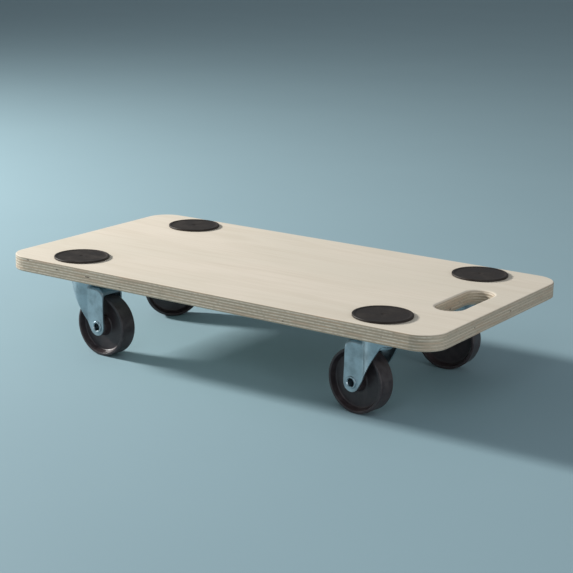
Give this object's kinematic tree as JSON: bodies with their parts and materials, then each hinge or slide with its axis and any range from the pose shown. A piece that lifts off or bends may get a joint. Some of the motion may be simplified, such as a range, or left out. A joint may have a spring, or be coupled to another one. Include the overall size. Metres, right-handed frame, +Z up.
{
  "type": "platform trolley",
  "caption": "Low plywood platform trolley with a hand slot at one end, round rubber grip pads on top and swivel casters that turn and roll freely.",
  "frame": {"origin": "on the floor, under the middle of the board", "axes": "+X along the board to the end with the hand slot, +Y across to the left of it, +Z up"},
  "size_m": [0.6, 0.31, 0.1205],
  "materials": {
    "plywood": "bare birch plywood, sanded, with visible plies at the edges",
    "pad_rubber": "matt black rubber",
    "zinc_steel": "bright zinc-plated pressed steel",
    "screw_zinc": "bright zinc-plated steel",
    "ball_steel": "polished, lightly greased",
    "wheel_plastic": "moulded dark brown-black plastic, satin"
  },
  "bodies": {
    "root": {"deck_board": "plywood", "front_right_grip_pad": "pad_rubber", "front_right_top_plate": "zinc_steel", "front_right_plate_screws": "screw_zinc", "front_right_kingpin": "zinc_steel", "front_right_lower_race": "zinc_steel", "front_left_grip_pad": "pad_rubber", "front_left_top_plate": "zinc_steel", "front_left_plate_screws": "screw_zinc", "front_left_kingpin": "zinc_steel", "front_left_lower_race": "zinc_steel", "rear_right_grip_pad": "pad_rubber", "rear_right_top_plate": "zinc_steel", "rear_right_plate_screws": "screw_zinc", "rear_right_kingpin": "zinc_steel", "rear_right_lower_race": "zinc_steel", "rear_left_grip_pad": "pad_rubber", "rear_left_top_plate": "zinc_steel", "rear_left_plate_screws": "screw_zinc", "rear_left_kingpin": "zinc_steel", "rear_left_lower_race": "zinc_steel"},
    "front_right_swivel_body": {"front_right_fork": "zinc_steel", "front_right_axle_rivet": "zinc_steel", "front_right_axle_bush": "zinc_steel"},
    "front_right_wheel_body": {"front_right_wheel": "wheel_plastic"},
    "front_right_ball_rings": {"front_right_upper_balls": "ball_steel", "front_right_lower_balls": "ball_steel"},
    "front_left_swivel_body": {"front_left_fork": "zinc_steel", "front_left_axle_rivet": "zinc_steel", "front_left_axle_bush": "zinc_steel"},
    "front_left_wheel_body": {"front_left_wheel": "wheel_plastic"},
    "front_left_ball_rings": {"front_left_upper_balls": "ball_steel", "front_left_lower_balls": "ball_steel"},
    "rear_right_swivel_body": {"rear_right_fork": "zinc_steel", "rear_right_axle_rivet": "zinc_steel", "rear_right_axle_bush": "zinc_steel"},
    "rear_right_wheel_body": {"rear_right_wheel": "wheel_plastic"},
    "rear_right_ball_rings": {"rear_right_upper_balls": "ball_steel", "rear_right_lower_balls": "ball_steel"},
    "rear_left_swivel_body": {"rear_left_fork": "zinc_steel", "rear_left_axle_rivet": "zinc_steel", "rear_left_axle_bush": "zinc_steel"},
    "rear_left_wheel_body": {"rear_left_wheel": "wheel_plastic"},
    "rear_left_ball_rings": {"rear_left_upper_balls": "ball_steel", "rear_left_lower_balls": "ball_steel"}
  },
  "joints": [
    {"name": "front_right_swivel", "type": "hinge", "parent": "root", "child": "front_right_swivel_body", "pos_m": [0.209, -0.104, 0.09], "axis": [0, 0, 1], "continuous": true},
    {"name": "front_right_roll", "type": "hinge", "parent": "front_right_swivel_body", "child": "front_right_wheel_body", "pos_m": [0.18121, -0.10059, 0.0375], "axis": [-0.1219, -0.9925, 0], "continuous": true},
    {"name": "front_right_balls", "type": "hinge", "parent": "root", "child": "front_right_ball_rings", "pos_m": [0.209, -0.104, 0.09], "axis": [0, 0, 1], "continuous": true},
    {"name": "front_left_swivel", "type": "hinge", "parent": "root", "child": "front_left_swivel_body", "pos_m": [0.209, 0.104, 0.09], "axis": [0, 0, 1], "continuous": true},
    {"name": "front_left_roll", "type": "hinge", "parent": "front_left_swivel_body", "child": "front_left_wheel_body", "pos_m": [0.18104, 0.10254, 0.0375], "axis": [0.0523, -0.9986, 0], "continuous": true},
    {"name": "front_left_balls", "type": "hinge", "parent": "root", "child": "front_left_ball_rings", "pos_m": [0.209, 0.104, 0.09], "axis": [0, 0, 1], "continuous": true},
    {"name": "rear_right_swivel", "type": "hinge", "parent": "root", "child": "rear_right_swivel_body", "pos_m": [-0.209, -0.104, 0.09], "axis": [0, 0, 1], "continuous": true},
    {"name": "rear_right_roll", "type": "hinge", "parent": "rear_right_swivel_body", "child": "rear_right_wheel_body", "pos_m": [-0.18104, -0.10547, 0.0375], "axis": [0.0523, 0.9986, 0], "continuous": true},
    {"name": "rear_right_balls", "type": "hinge", "parent": "root", "child": "rear_right_ball_rings", "pos_m": [-0.209, -0.104, 0.09], "axis": [0, 0, 1], "continuous": true},
    {"name": "rear_left_swivel", "type": "hinge", "parent": "root", "child": "rear_left_swivel_body", "pos_m": [-0.209, 0.104, 0.09], "axis": [0, 0, 1], "continuous": true},
    {"name": "rear_left_roll", "type": "hinge", "parent": "rear_left_swivel_body", "child": "rear_left_wheel_body", "pos_m": [-0.22845, 0.08386, 0.0375], "axis": [0.7193, -0.6947, 0], "continuous": true},
    {"name": "rear_left_balls", "type": "hinge", "parent": "root", "child": "rear_left_ball_rings", "pos_m": [-0.209, 0.104, 0.09], "axis": [0, 0, 1], "continuous": true}
  ],
  "couplings": [
    {"joint": "front_right_balls", "follows": "front_right_swivel", "ratio": 0.5},
    {"joint": "front_left_balls", "follows": "front_left_swivel", "ratio": 0.5},
    {"joint": "rear_right_balls", "follows": "rear_right_swivel", "ratio": 0.5},
    {"joint": "rear_left_balls", "follows": "rear_left_swivel", "ratio": 0.5}
  ]
}
